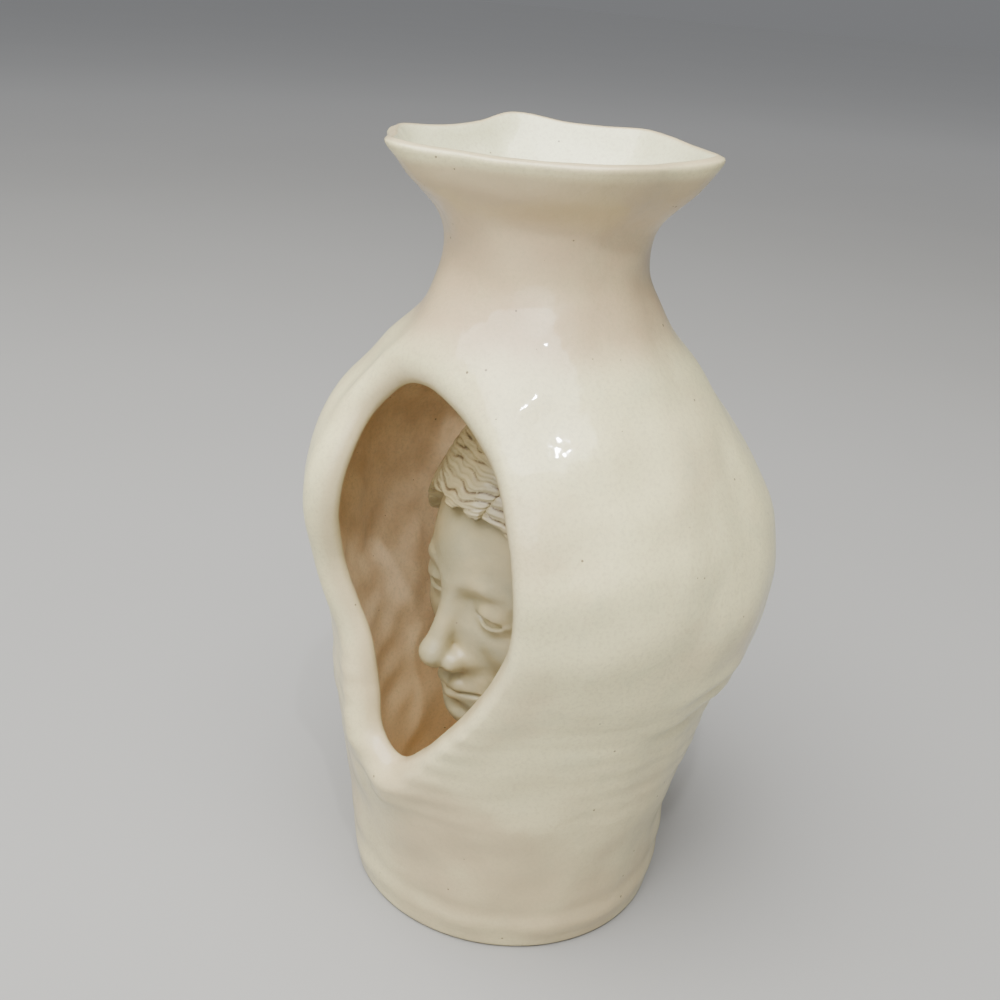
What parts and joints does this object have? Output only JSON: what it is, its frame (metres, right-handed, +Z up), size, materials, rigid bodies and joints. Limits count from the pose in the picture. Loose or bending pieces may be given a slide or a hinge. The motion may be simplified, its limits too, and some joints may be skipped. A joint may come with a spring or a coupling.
{
  "type": "face vase",
  "caption": "Hand-built glazed stoneware vase with a flared mouth, a leaning belly and a teardrop window that shows a calm modelled head inside.",
  "frame": {"origin": "centre of the foot on the surface that the vase stands on", "axes": "+Z up, the window and the face look towards -Y, +X is the face's own left"},
  "size_m": [0.1838, 0.1684, 0.3],
  "materials": {
    "outer_glaze": "glossy clear glaze on cream clay",
    "inner_glaze": "thin satin glaze on tan clay",
    "head_clay": "thin satin glaze on greyish cream clay",
    "hair_clay": "thin satin glaze with dark creases"
  },
  "bodies": {
    "root": {"belly_wall": "outer_glaze", "chin_pad": "head_clay", "floor_slab": "outer_glaze", "hair_back": "hair_clay", "hair_crown": "hair_clay", "hair_fringe": "hair_clay", "hair_left_side": "hair_clay", "hair_right_side": "hair_clay", "hair_temple": "hair_clay", "head_core": "head_clay", "left_brow": "head_clay", "left_ear": "head_clay", "left_eyeball": "head_clay", "left_lower_lid": "head_clay", "left_upper_lid": "head_clay", "lip_coil": "outer_glaze", "lower_lip": "head_clay", "lower_wall": "outer_glaze", "mouth_flare": "outer_glaze", "neck_collar": "outer_glaze", "neck_column": "inner_glaze", "nose": "head_clay", "right_brow": "head_clay", "right_ear": "head_clay", "right_eyeball": "head_clay", "right_lower_lid": "head_clay", "right_upper_lid": "head_clay", "shoulder_wall": "outer_glaze", "upper_lip": "head_clay", "window_rim": "outer_glaze"}
  },
  "joints": []
}
